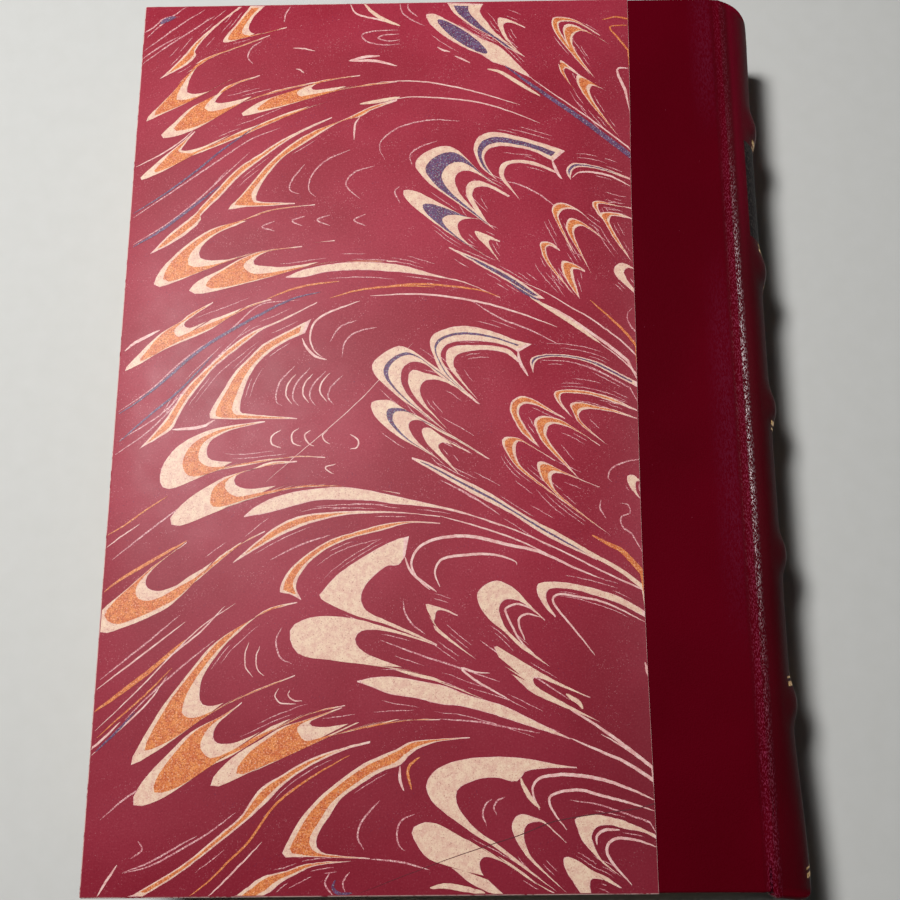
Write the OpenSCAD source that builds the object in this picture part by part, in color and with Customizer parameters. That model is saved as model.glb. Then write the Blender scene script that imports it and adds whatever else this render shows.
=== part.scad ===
// Antique book in quarter leather, with a rounded back, raised bands and marbled paper sides.
// It lies on its front cover: spine towards +X, head towards +Y, back cover uppermost.
// Lengths run from the fore edge in X and from the tail of the boards in Y.
// Heights are measured from the middle of the book's thickness, and stand() sets it on z = 0.

/* [Boards] */
// Height of each board, tail to head
board_h = 235; // [200:1:300]
// Width of each board, fore edge to joint
board_w = 161.5; // [140:0.5:200]
// Thickness of each board
board_t = 2.8; // [1.8:0.1:5]

/* [Leaves] */
// Thickness of the pressed leaves
leaves_t = 28; // [24:0.5:50]
// How far the boards stand past the leaves at head, tail and fore edge
square_w = 3; // [2:0.5:6]
// Depth of the hollow in the fore edge
fore_hollow = 5; // [1:0.5:8]
// Thickness of one endpaper
endpaper_t = 0.2; // [0.1:0.05:0.4]
// How far the pastedown stays inside the edges of the board
pastedown_margin = 4; // [3:0.5:8]

/* [Spine] */
// How far the rounded back stands past the joint
back_rise = 14; // [8:0.2:15]
// Thickness of the leather on the back
leather_t = 0.8; // [0.5:0.05:1.2]
// Thickness of the open-woven cloth glued to the folds
mull_t = 0.3; // [0.2:0.05:0.6]
// Thickness of the stiff paper lining between the cloth and the leather
lining_t = 0.5; // [0.3:0.1:1]
// How far the leather cap stands past the boards at the head
head_cap_past = 0.2; // [0:0.1:2]
// How far the leather cap stands past the boards at the tail
tail_cap_past = 1.5; // [0:0.1:2]
// How far each leather cap reaches in over its endband
cap_reach = 4.5; // [3.5:0.1:6]
// Radius of the outer edge of each leather cap
cap_round = 1.5; // [1.2:0.1:2.4]

/* [Raised bands] */
// Height of the tail panel, from the tail of the boards to the middle of the lowest band
tail_panel = 40.6; // [25:0.1:50]
// Height of the head panel, from the middle of the topmost band to the head of the boards
head_panel = 36.8; // [25:0.1:50]
// How far the leather over a band stands out from the back
band_proud = 1.4; // [0.8:0.1:2.4]
// Radius of the rounded crest of a band, leather included
band_round = 3.2; // [2.8:0.1:4.5]
// Half of the angle that the strip under each band covers round the back
band_half_angle = 64; // [45:1:66]

/* [Endbands] */
// Radius of the wound cord of each endband
endband_r = 1.05; // [0.6:0.05:1.1]
// Half of the angle that each endband covers round the back
endband_half_angle = 56; // [40:1:58]

/* [Gilt rules] */
// Width of the broad gilt rule
gilt_broad = 1.1; // [0.6:0.1:2]
// Width of the fine gilt rule
gilt_fine = 0.5; // [0.3:0.1:1]
// Space between the two rules of a pair
gilt_space = 0.8; // [0.4:0.1:1.5]
// Distance from the middle of a band to its nearest rule
gilt_from_band = 4.2; // [3.6:0.1:6]
// Distance from the end of the boards to the outer rule at head and tail
gilt_from_end = 4; // [3:0.5:10]
// Thickness of the gold with its size
gilt_t = 0.06; // [0.04:0.01:0.1]
// Half of the angle that each rule covers round the back
gilt_half_angle = 30; // [25:1:60]

/* [Leather on the boards] */
// Width of leather that shows on each board
strip_w = 25; // [15:0.5:50]
// Thickness of the leather where it is pared to lie on the board
pared_t = 0.4; // [0.2:0.05:0.6]
// How far the marbled paper laps over the leather
paper_lap = 3; // [1:0.5:6]

/* [Marbled paper] */
// Thickness of the marbled paper
paper_t = 0.2; // [0.15:0.05:0.4]
// Width of the paper and leather turned in round the board
turn_in = 15; // [10:1:25]
// Depth of the colour fields in the face of the paper
ink_t = 0.05; // [0.03:0.01:0.1]
// Height of one repeat of the marbled pattern
repeat_h = 52; // [45:1:60]
// Height of the first repeat above the tail of the boards
repeat_from = -64; // [-80:1:-50]
// Bare paper left along the edge round the colour fields
ink_margin = 0.6; // [0.3:0.1:3]

/* [Joints] */
// Space between the two halves of an endpaper where it turns into the joint
joint_free = 0.2; // [0.1:0.05:0.5]
// Glue line left between curved layers
glue_line = 0.05; // [0.03:0.01:0.1]

/* [Hidden] */

// Number of raised bands, one node each
band_count = 5;
band_pitch = (board_h - tail_panel - head_panel) / (band_count - 1);

// Faces of a circle, which stands for a true arc
round_fn = 96;
// Overshoot of a cutting solid
eps = 1;
// Straight pieces in each side of a colour field
ink_steps = 7;

// Half thicknesses, outwards from the middle of the leaves
leaves_half = leaves_t / 2;
flyleaf_top = leaves_half + endpaper_t;
board_in = flyleaf_top + endpaper_t;
board_out = board_in + board_t;
book_half = board_out + paper_t;
book_t = 2 * book_half;

// The leaves
leaf_tail = square_w;
leaf_head = board_h - square_w;
fore_r = (leaves_half * leaves_half + fore_hollow * fore_hollow) / (2 * fore_hollow);

// The back is an arc through both joints, and its layers lie inside it
joint_x = board_w;
back_x = joint_x + 2 * endpaper_t + joint_free;
joint_top = board_out - pared_t;
back_r = (book_half * book_half + back_rise * back_rise) / (2 * back_rise);
back_cx = joint_x + back_rise - back_r;
lining_r = back_r - leather_t - glue_line;
mull_r = lining_r - lining_t - glue_line;
folds_r = mull_r - mull_t - glue_line;

// The leather's reach at tail and head
leather_tail = -tail_cap_past;
leather_head = board_h + head_cap_past;

// A band's crest is a ring whose centre line is moved out from the back's by its height
band_ring_r = back_r - band_round;
band_ring_cx = back_cx + band_proud;
core_round = band_round - leather_t;

// The paper and leather on the boards
paper_edge = board_w - strip_w;
leather_edge = paper_edge - paper_lap;

// The whole book's middle
mid_x = (joint_x + back_rise + band_proud) / 2;
mid_y = (leather_head + leather_tail) / 2;

// Loops of colour in one repeat, as left end, tip and right end of the outer edge,
// from the fore edge and from the foot of the repeat, then the width at the tip
cream_loops = [
    [[40, 55], [14, 40], [53, 45], 8],
    [[50, 46], [17, 30], [72, 38], 9],
    [[36, 33], [54, 40.5], [94, 33], 2.4],
    [[108, 76], [82, 77], [94, 64], 4.2],
    [[80, 74], [66.5, 73], [88, 54], 5.5],
    [[84, 56], [66.5, 61.5], [82, 49], 4],
    [[77, 48], [98, 38], [124, 21], 1.2],
];
orange_loops = [
    [[49, 85], [25, 58.5], [48, 57.5], 4.5],
    [[46, 91], [15, 76], [2, 70], 3.4],
    [[120, 57], [103, 62], [115, 49], 2.6],
    [[125, 50.5], [109, 57], [123, 41], 2.8],
    [[115, 46.5], [101, 52], [115, 36], 2.8],
    [[125, 39], [110, 46], [129, 27], 2.8],
];
blue_loops = [
    [[104, 74.5], [84, 75.2], [93, 66], 0.9],
    [[79, 71.5], [69, 71.5], [86, 56], 1.1],
];

// Sets pieces measured from the book's own middle height on the table
module stand() {
    translate([-mid_x, -mid_y, book_half])
        children();
}

// Turns a piece of the back cover into the same piece of the front cover
module on_side(side) {
    stand()
        mirror([0, 0, side == "front" ? 1 : 0])
            children();
}

// A box between two corners
module block(low, high) {
    translate(low)
        cube([high[0] - low[0], high[1] - low[1], high[2] - low[2]]);
}

// Stands a section drawn in X and Z up along Y, from tail to head
module along_book(from_y, to_y) {
    translate([0, to_y, 0])
        rotate([90, 0, 0])
            linear_extrude(to_y - from_y)
                children();
}

// Turns a profile drawn as radius and height round a line that runs along the book
module round_back(centre_x, half_angle = 180) {
    translate([centre_x, 0, 0])
        rotate([-90, 0, 0])
            rotate([0, 0, -half_angle])
                rotate_extrude(angle = 2 * half_angle, $fn = round_fn)
                    children();
}

// All that lies beyond the joint, no further out than the given half thickness
module beyond_joint(half_t) {
    block([back_x, leather_tail - eps, -half_t],
        [joint_x + 2 * back_rise, leather_head + eps, half_t]);
}

// One layer of the rounded back, between two radii
module back_layer(inner_r, outer_r, from_y, to_y) {
    intersection() {
        round_back(back_cx)
            translate([inner_r, from_y])
                square([outer_r - inner_r, to_y - from_y]);
        beyond_joint(book_half - paper_t);
    }
}

// The sewn leaves: a hollow fore edge, a rounded back and a shoulder along each joint
module text_block() {
    color("ivory")
        stand()
            along_book(leaf_tail, leaf_head)
                difference() {
                    union() {
                        translate([square_w, -leaves_half])
                            square([back_x + eps - square_w, leaves_t]);
                        intersection() {
                            translate([back_cx, 0])
                                circle(folds_r, $fn = round_fn);
                            translate([back_x, -book_half])
                                square([2 * back_rise, book_t]);
                        }
                    }
                    translate([square_w + fore_hollow - fore_r, 0])
                        circle(fore_r, $fn = round_fn);
                }
}

// The wound cord that sits on the edge of the leaves inside a leather cap
module endband(at_y) {
    color("darkred")
        stand()
            round_back(back_cx, endband_half_angle)
                translate([folds_r - endband_r - glue_line, at_y])
                    circle(endband_r, $fn = 32);
}

module head_endband() {
    endband(leaf_head + endband_r);
}

module tail_endband() {
    endband(leaf_tail - endband_r);
}

// The cloth on the folds stops short of head and tail
module spine_mull() {
    color("gainsboro")
        stand()
            back_layer(folds_r + glue_line, mull_r, leaf_tail + 2 * square_w, leaf_head - 2 * square_w);
}

module spine_lining() {
    color("tan")
        stand()
            back_layer(mull_r + glue_line, lining_r, leaf_tail, leaf_head);
}

function band_y(n) = tail_panel + (n - 1) * band_pitch;

// A ring for the crest of one band
module band_ring(n, ring_round, half_angle = 180) {
    round_back(band_ring_cx, half_angle)
        translate([band_ring_r, band_y(n)])
            circle(ring_round, $fn = 48);
}

// The strip under one band, seated on the lining
module raised_band(n) {
    color("peru")
        stand()
            difference() {
                band_ring(n, core_round, band_half_angle);
                round_back(back_cx)
                    translate([0, leather_tail])
                        square([lining_r + glue_line, leather_head - leather_tail]);
            }
}

// A square with two rounded outer corners, as radius and height
module cap_profile(outer_r, inner_r, from_y, to_y, corner_r) {
    translate([inner_r, from_y])
        square([outer_r - corner_r - inner_r, to_y - from_y]);
    translate([inner_r, from_y + corner_r])
        square([outer_r - inner_r, to_y - from_y - 2 * corner_r]);
    for (y = [from_y + corner_r, to_y - corner_r])
        translate([outer_r - corner_r, y])
            circle(corner_r, $fn = 32);
}

// The leather on the back, turned over the endbands into a cap at head and tail
module spine_leather() {
    cap_in = back_r - cap_reach;
    color([0.33, 0.01, 0.06])
        stand()
            difference() {
                intersection() {
                    union() {
                        round_back(back_cx)
                            cap_profile(back_r, cap_in, leather_tail, leather_head, cap_round);
                        for (n = [1:band_count])
                            band_ring(n, band_round);
                    }
                    beyond_joint(book_half - paper_t);
                }
                round_back(back_cx)
                    cap_profile(back_r - leather_t, 0, leather_tail + leather_t,
                        leather_head - leather_t, cap_round - leather_t);
                round_back(back_cx)
                    translate([0, leather_tail - eps])
                        square([cap_in, leather_head - leather_tail + 2 * eps]);
                for (n = [1:band_count])
                    band_ring(n, core_round + glue_line);
            }
}

// One gilt line across the back, from its lower edge
module gilt_line(from_y, width) {
    round_back(back_cx, gilt_half_angle)
        translate([back_r + glue_line / 2, from_y])
            square([gilt_t, width]);
}

// A broad and a fine line, the broad one towards the place given
module gilt_pair(at_y, away) {
    gilt_line(away > 0 ? at_y : at_y - gilt_broad, gilt_broad);
    fine_y = at_y + away * (gilt_broad + gilt_space);
    gilt_line(away > 0 ? fine_y : fine_y - gilt_fine, gilt_fine);
}

module gilt_rules() {
    color("goldenrod")
        stand() {
            for (n = [1:band_count]) {
                gilt_pair(band_y(n) + gilt_from_band, 1);
                gilt_pair(band_y(n) - gilt_from_band, -1);
            }
            gilt_pair(gilt_from_end, 1);
            gilt_pair(board_h - gilt_from_end, -1);
        }
}

// The free endpaper, flat on the leaves and turned up the shoulder
module flyleaf(side) {
    color("oldlace")
        on_side(side) {
            block([square_w, leaf_tail, leaves_half], [back_x, leaf_head, flyleaf_top]);
            block([back_x - endpaper_t, leaf_tail, leaves_half], [back_x, leaf_head, joint_top]);
        }
}

// The board, sunk for the pared leather and for what is turned in
module board(side) {
    color("burlywood")
        on_side(side)
            difference() {
                union() {
                    block([paper_t, paper_t, board_in], [leather_edge, board_h - paper_t, board_out]);
                    block([leather_edge - eps, paper_t + pared_t, board_in],
                        [board_w, board_h - paper_t - pared_t, board_out - pared_t]);
                }
                block([-eps, -eps, board_in - eps], [turn_in, board_h + eps, board_in + paper_t]);
                turned_in_room(-eps, paper_t);
                turned_in_room(leather_edge, paper_t + pared_t);
            }
}

// Room on the inner face for a turned-in layer along tail and head, out to the spine edge
module turned_in_room(from_x, depth) {
    for (y = [-eps, board_h - turn_in])
        block([from_x, y, board_in - eps], [board_w + eps, y + turn_in + eps, board_in + depth]);
}

// The leather strip on the board, turned in at tail and head
module side_leather(side) {
    color([0.33, 0.01, 0.06])
        on_side(side)
            difference() {
                block([leather_edge, paper_t, board_in + paper_t],
                    [board_w, board_h - paper_t, board_out]);
                block([leather_edge - eps, paper_t + pared_t, board_in + paper_t + pared_t],
                    [board_w + eps, board_h - paper_t - pared_t, board_out - pared_t]);
                block([leather_edge - eps, turn_in, board_in - eps],
                    [board_w + eps, board_h - turn_in, board_in + paper_t + 2 * pared_t]);
            }
}

// The marbled paper, turned in round three edges of the board, with room for its colours
module marbled_paper(side) {
    color([0.6, 0.17, 0.25])
        on_side(side)
            difference() {
                block([0, 0, board_in], [paper_edge, board_h, book_half]);
                block([paper_t, paper_t, board_in + paper_t],
                    [paper_edge + eps, board_h - paper_t, book_half - paper_t]);
                block([turn_in, turn_in, board_in - eps],
                    [paper_edge + eps, board_h - turn_in, board_in + 2 * paper_t]);
                translate([0, 0, book_half - ink_t])
                    linear_extrude(2 * ink_t)
                        all_fields();
            }
}

// The endpaper pasted to the inside of the board and turned up its spine edge
module pastedown(side) {
    low_y = pastedown_margin;
    high_y = board_h - pastedown_margin;
    color("oldlace")
        on_side(side) {
            block([pastedown_margin, low_y, flyleaf_top], [board_w + endpaper_t, high_y, board_in]);
            block([board_w, low_y, flyleaf_top], [board_w + endpaper_t, high_y, joint_top]);
        }
}

// A point on a curve that leaves end a, turns at the tip and comes back to end b
function bend(a, tip, b, t) =
    let (pull = 2 * tip - (a + b) / 2)
    (1 - t) * (1 - t) * a + 2 * t * (1 - t) * pull + t * t * b;

// The tip of a loop's inner edge, moved in towards the middle of its two ends
function inner_tip(a, tip, b, width) =
    let (to_middle = (a + b) / 2 - tip)
    tip + width * to_middle / norm(to_middle);

// One loop: broad at its tip and fine at both ends
module ink_loop(spec) {
    a = spec[0];
    tip = spec[1];
    b = spec[2];
    tip_in = inner_tip(a, tip, b, spec[3]);
    polygon([
        for (i = [0:ink_steps]) bend(a, tip, b, i / ink_steps),
        for (i = [ink_steps - 1:-1:1]) bend(a, tip_in, b, i / ink_steps),
    ]);
}

// All loops of one colour on a cover, repeat above repeat
module ink_fields(loops) {
    intersection() {
        union()
            for (y = [repeat_from:repeat_h:board_h])
                translate([0, y])
                    for (spec = loops)
                        ink_loop(spec);
        translate([ink_margin, ink_margin])
            square([paper_edge - 2 * ink_margin, board_h - 2 * ink_margin]);
    }
}

module all_fields() {
    ink_fields(concat(cream_loops, orange_loops, blue_loops));
}

// A thin layer of one colour, level with the face of the paper
module ink_layer(side, shade) {
    color(shade)
        on_side(side)
            translate([0, 0, book_half - ink_t])
                linear_extrude(ink_t)
                    children();
}

module cream_ink(side) {
    ink_layer(side, [0.92, 0.78, 0.66])
        difference() {
            ink_fields(cream_loops);
            ink_fields(concat(orange_loops, blue_loops));
        }
}

module orange_ink(side) {
    ink_layer(side, [0.88, 0.47, 0.22])
        difference() {
            ink_fields(orange_loops);
            ink_fields(blue_loops);
        }
}

module blue_ink(side) {
    ink_layer(side, [0.33, 0.29, 0.45])
        ink_fields(blue_loops);
}

text_block();
head_endband();
tail_endband();
spine_mull();
spine_lining();
raised_band(1);  // raised_band_1
raised_band(2);  // raised_band_2
raised_band(3);  // raised_band_3
raised_band(4);  // raised_band_4
raised_band(5);  // raised_band_5
spine_leather();
gilt_rules();
flyleaf("back");  // back_flyleaf
flyleaf("front");  // front_flyleaf
board("back");  // back_board
side_leather("back");  // back_leather
marbled_paper("back");  // back_marbled_paper
pastedown("back");  // back_pastedown
cream_ink("back");  // back_cream_ink
orange_ink("back");  // back_orange_ink
blue_ink("back");  // back_blue_ink
board("front");  // front_board
side_leather("front");  // front_leather
marbled_paper("front");  // front_marbled_paper
pastedown("front");  // front_pastedown
cream_ink("front");  // front_cream_ink
orange_ink("front");  // front_orange_ink
blue_ink("front");  // front_blue_ink
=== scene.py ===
"""Antique book in quarter leather: rounded back, raised bands, marbled paper sides and silk endbands."""

import math

import bpy
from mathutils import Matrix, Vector, noise


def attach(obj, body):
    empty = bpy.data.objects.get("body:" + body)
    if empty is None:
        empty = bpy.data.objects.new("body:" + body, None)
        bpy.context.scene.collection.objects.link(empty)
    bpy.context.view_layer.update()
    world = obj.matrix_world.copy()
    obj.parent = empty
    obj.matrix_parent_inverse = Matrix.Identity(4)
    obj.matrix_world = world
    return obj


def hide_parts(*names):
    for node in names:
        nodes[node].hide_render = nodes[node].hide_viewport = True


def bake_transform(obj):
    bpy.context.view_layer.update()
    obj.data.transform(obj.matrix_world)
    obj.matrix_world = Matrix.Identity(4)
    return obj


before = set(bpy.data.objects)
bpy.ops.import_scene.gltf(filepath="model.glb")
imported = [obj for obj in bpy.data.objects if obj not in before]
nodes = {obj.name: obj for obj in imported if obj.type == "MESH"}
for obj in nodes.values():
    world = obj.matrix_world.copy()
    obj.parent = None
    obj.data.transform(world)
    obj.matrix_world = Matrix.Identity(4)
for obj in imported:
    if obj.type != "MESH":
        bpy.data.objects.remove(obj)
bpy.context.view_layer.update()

# Sizes of the book in millimetres, from the fore edge, the tail and the middle of its thickness
MM = 0.001
BOARD_HEIGHT = 235.0
BOOK_HALF = 17.4
PAPER = 0.2
PAPER_EDGE = 136.5
LEATHER_EDGE = 133.5
BOARD_IN = 14.4
BOARD_OUT = 17.2
TURN_IN = 15.0
BACK_RADIUS = 17.8129
BACK_CENTRE = 157.6871
BAND_MIDDLES = (42.4, 80.0, 119.4, 158.8, 201.4)
BAND_ROUND = 4.4
BAND_PROUD = 1.4
MIDDLE_X = 88.45
MIDDLE_Y = 116.85
# The covers' ends are out of square by this much, within SLANT_REACH of head and tail
HEAD_SLANT = 1.5
TAIL_SLANT = 1.6
SLANT_REACH = 30.0
SLANT_FROM = 5.0
SLANT_TO = 150.0
# Where the paper's edge on the leather lies off its line, as height and distance
EDGE_DRIFT = ((0.0, -0.6), (78.0, -1.2), (157.0, -0.45), (235.0, 0.9))


def place(x, y, z):
    """A point of the book, in millimetres from its fore edge, tail and middle, as a point of the scene."""
    return Vector(((x - MIDDLE_X) * MM, (y - MIDDLE_Y) * MM, (z + BOOK_HALF) * MM))


def smooth(t):
    """0 up to 0 and 1 from 1, with a soft rise between them."""
    t = min(max(t, 0.0), 1.0)
    return t * t * (3 - 2 * t)


def mix(a, b, t):
    """The number at share t of the way from a to b."""
    return a + (b - a) * t


def slanted(x, y):
    """How far the ends of the covers, which aren't quite square, reach past their even length."""
    share = min(max((x - SLANT_FROM) / (SLANT_TO - SLANT_FROM), 0.0), 1.0)
    at_head = smooth((y - (BOARD_HEIGHT - SLANT_REACH)) / SLANT_REACH)
    at_tail = smooth((SLANT_REACH - y) / SLANT_REACH)
    return HEAD_SLANT * share * at_head - TAIL_SLANT * (1 - share) * at_tail


def slant(piece):
    """Takes the ends of a piece of a cover out of square."""
    for vertex in piece.data.vertices:
        vertex.co.y += slanted(vertex.co.x / MM + MIDDLE_X, vertex.co.y / MM + MIDDLE_Y) * MM


def edge_drift(y):
    """How far the paper's edge on the leather lies from its middle line."""
    for (low, a), (high, b) in zip(EDGE_DRIFT, EDGE_DRIFT[1:]):
        if y <= high:
            return mix(a, b, smooth((y - low) / (high - low)))
    return EDGE_DRIFT[-1][1]


# ---- camera ----
# Fitted to the cover's corners in the photograph: place in metres, turn in degrees, the rest in pixels
CAMERA_PLACE = Vector((0.0013, -0.0562, 0.2612))
CAMERA_TURN = (11.23, 0.66, 0.04)
PHOTO_MIDDLE = 450
PHOTO_FOCAL = 900

camera_data = bpy.data.cameras.new("camera")
camera_data.lens = 36
camera_data.sensor_width = 36
camera_data.clip_start = 0.01
camera = bpy.data.objects.new("camera", camera_data)
bpy.context.scene.collection.objects.link(camera)
camera.location = CAMERA_PLACE
camera.rotation_euler = [math.radians(a) for a in CAMERA_TURN]
bpy.context.scene.camera = camera
bpy.context.view_layer.update()
bpy.context.scene.view_settings.view_transform = "Standard"


def on_cover(px, py):
    """The place on the upper cover, in millimetres of the book, that the photograph shows at a pixel."""
    ray = Vector(((px - PHOTO_MIDDLE) / PHOTO_FOCAL, (PHOTO_MIDDLE - py) / PHOTO_FOCAL, -1.0))
    ray = camera.matrix_world.to_3x3() @ ray
    reach = (2 * BOOK_HALF * MM - CAMERA_PLACE.z) / ray.z
    hit = CAMERA_PLACE + reach * ray
    return hit.x / MM + MIDDLE_X, hit.y / MM + MIDDLE_Y


# ---- finishes ----
def shade(red, green, blue):
    """An sRGB colour, 0 to 255, as the linear colour that a socket takes."""
    linear = []
    for part in (red, green, blue):
        part /= 255
        linear.append(part / 12.92 if part <= 0.04045 else ((part + 0.055) / 1.055) ** 2.4)
    return (*linear, 1.0)


class Value:
    """A number that changes over a surface, which takes part in sums like any other number."""

    def __init__(self, finish, socket):
        self.finish = finish
        self.socket = socket

    def sum(self, operation, *terms):
        made = self.finish.node("ShaderNodeMath", {"operation": operation}, dict(enumerate(terms)))
        return Value(self.finish, made.outputs[0])

    def __add__(self, other):
        return self.sum("ADD", self, other)

    def __sub__(self, other):
        return self.sum("SUBTRACT", self, other)

    def __rsub__(self, other):
        return self.sum("SUBTRACT", other, self)

    def __mul__(self, other):
        return self.sum("MULTIPLY", self, other)

    def __truediv__(self, other):
        return self.sum("DIVIDE", self, other)

    def __abs__(self):
        return self.sum("ABSOLUTE", self)

    def sine(self):
        return self.sum("SINE", self)

    def angle_to(self, other):
        return self.sum("ARCTAN2", self, other)

    def between(self, low, high):
        """0 up to low and 1 from high, soft between them."""
        settings = {"interpolation_type": "SMOOTHSTEP"}
        sockets = {"Value": self, "From Min": low, "From Max": high}
        made = self.finish.node("ShaderNodeMapRange", settings, sockets)
        return Value(self.finish, made.outputs["Result"])

    def over(self, rise, fall):
        """1 between the rise and the fall, each given as a pair of ends, and 0 before and after them."""
        return self.between(*rise) * (1 - self.between(*fall))


class Finish:
    """A procedural material, built from its nodes."""

    def __init__(self, name, roughness=0.6, specular=0.4, **constants):
        self.material = bpy.data.materials.new(name)
        self.material.use_nodes = True
        self.tree = self.material.node_tree
        self.shader = self.tree.nodes["Principled BSDF"]
        self.shader.inputs["Roughness"].default_value = roughness
        self.shader.inputs["Specular IOR Level"].default_value = specular
        for socket, value in constants.items():
            self.shader.inputs[socket.replace("_", " ")].default_value = value
        self.place = self.node("ShaderNodeTexCoord", {}, {}).outputs["Object"]

    def node(self, kind, settings, sockets):
        """Adds one node with its settings, then the values or links of its sockets."""
        made = self.tree.nodes.new(kind)
        for key, value in settings.items():
            setattr(made, key, value)
        for key, value in sockets.items():
            value = value.socket if isinstance(value, Value) else value
            if isinstance(value, bpy.types.NodeSocket):
                self.tree.links.new(value, made.inputs[key])
            else:
                made.inputs[key].default_value = value
        return made

    def along(self, axis):
        """How far a point lies along X, Y or Z, in millimetres."""
        parts = self.node("ShaderNodeSeparateXYZ", {}, {"Vector": self.place})
        return Value(self, parts.outputs[axis]) / MM

    def stretched(self, x, y, z, turn=0.0):
        """The object's own coordinates, stretched along each axis and turned in the plane of the cover."""
        sockets = {"Vector": self.place, "Scale": (x, y, z), "Rotation": (0.0, 0.0, math.radians(turn))}
        return self.node("ShaderNodeMapping", {"vector_type": "TEXTURE"}, sockets).outputs["Vector"]

    def cloud(self, size, detail=3.0, rough=0.5, at=None):
        """Soft noise from 0 to 1, its patches about size millimetres wide."""
        sockets = {"Vector": at or self.place, "Scale": 1 / (size * MM)}
        sockets.update({"Detail": detail, "Roughness": rough})
        return Value(self, self.node("ShaderNodeTexNoise", {}, sockets).outputs["Fac"])

    def cells(self, size):
        """How far a point lies from the middles of cells of about size millimetres, in cells."""
        sockets = {"Vector": self.place, "Scale": 1 / (size * MM)}
        return Value(self, self.node("ShaderNodeTexVoronoi", {}, sockets).outputs["Distance"])

    def blend(self, a, b, factor):
        """Colour a where the factor is 0 and colour b where it is 1."""
        made = self.node("ShaderNodeMix", {"data_type": "RGBA"}, {"Factor": factor, 6: a, 7: b})
        return made.outputs[2]

    def colour(self, socket):
        self.tree.links.new(socket, self.shader.inputs["Base Color"])

    def coat(self, value):
        self.tree.links.new(value.socket, self.shader.inputs["Coat Weight"])

    def rough(self, value):
        self.tree.links.new(value.socket, self.shader.inputs["Roughness"])

    def relief(self, height, depth):
        """Bumps of the given height field, which stand depth millimetres proud at 1."""
        sockets = {"Height": height, "Distance": depth * MM, "Strength": 1.0}
        bump = self.node("ShaderNodeBump", {}, sockets)
        self.tree.links.new(bump.outputs["Normal"], self.shader.inputs["Normal"])


# Places on the leather and the paper, in millimetres across and along the book from its middle
RIDGE = ((72.2, 74.2), (75.4, 77.2))
SHEEN_FLANK = ((64.5, 70.5), (71.0, 73.0))
SHEEN_ALONG = ((-70.0, -25.0), (15.0, 50.0))
LABEL = ((48.8, 49.1), (77.3, 77.6))
LABEL_SIDE = (80.2, 80.6)
HEAD_LIT_SIDE = (76.5, 78.0)
GLOSSY_BACK = (85.7, 86.6)
NIP_LINE = 73.9
# Places over the middle of the book where the paper's folded edge is rubbed
RUBBED_EDGE = ((16.9, 17.12), (17.3, 17.39))


def leather_finish():
    """Grained leather with painted sheen, highlights and light beside the joint, painted shade in its tail
    nip, and the dark field of a label on the back.
    """
    f = Finish("leather", roughness=0.45, specular=0.012, Coat_Roughness=0.3)
    across = f.along(0)
    reach = f.along(1)
    grain = f.cells(0.5) * 0.7 + f.cells(0.28) * 0.3
    pores = f.cloud(0.35, 2.0).between(0.35, 0.7)
    crease = f.cloud(0.7, 3.0, 0.6, f.stretched(1.0, 5.0, 1.0))
    slow = f.cloud(38.0, 2.0)
    wine = f.blend(shade(80, 0, 12), shade(90, 0, 16), slow.between(0.3, 0.7))

    # painted shade in the nip at the tail end of the joint
    nip_shade = (1 - abs(across - NIP_LINE).between(0.1, 0.5)) * (1 - reach.between(-113.0, -108.5))
    wine = f.blend(wine, shade(24, 0, 4), nip_shade)
    # a band of painted light on the rounder side of the back towards the head
    head_side_light = across.between(*HEAD_LIT_SIDE) * reach.between(30.0, 70.0)
    wine = f.blend(wine, shade(126, 0, 34), head_side_light * 0.6)
    wine = f.blend(wine, shade(104, 6, 30), grain.between(0.2, 0.6) * 0.12)

    # a soft painted sheen on the flank of the joint, in streaks
    sheen_reach = reach.over(*SHEEN_ALONG) + reach.between(74.0, 96.0)
    flank_sheen = across.over(*SHEEN_FLANK) * sheen_reach
    sheen_streak = f.cloud(0.3, 3.0, 0.7, f.stretched(1.0, 3.0, 1.0)).between(0.42, 0.6)
    wine = f.blend(wine, shade(102, 30, 54), flank_sheen * sheen_streak * 0.44)
    ridge = across.over(*RIDGE) * (1 - reach.between(45.0, 90.0) * 0.55)
    glint_speckle = f.cloud(0.27, 3.0, 0.7, f.stretched(1.0, 2.6, 1.0)).between(0.52, 0.6)
    # painted highlight specks on the joint's ridge, where the coat also shines
    wine = f.blend(wine, shade(150, 48, 80), ridge * glint_speckle * 0.7)

    label = reach.over(*LABEL) * across.between(*LABEL_SIDE)
    worn = f.cloud(1.1, 4.0, 0.7).between(0.45, 0.65)
    wine = f.blend(wine, f.blend(shade(44, 34, 37), shade(84, 72, 70), worn), label)
    dusty = f.cloud(0.5, 1.0).between(0.78, 0.82) * f.cloud(9.0, 1.0).between(0.55, 0.7)
    f.colour(f.blend(wine, shade(150, 70, 90), dusty * 0.6))
    f.coat(ridge * glint_speckle * 0.7 + across.between(*GLOSSY_BACK) * 0.3)
    f.relief(grain * -0.6 + pores * 0.5 + crease * ridge * 6.0, 0.05)
    return f.material


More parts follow.
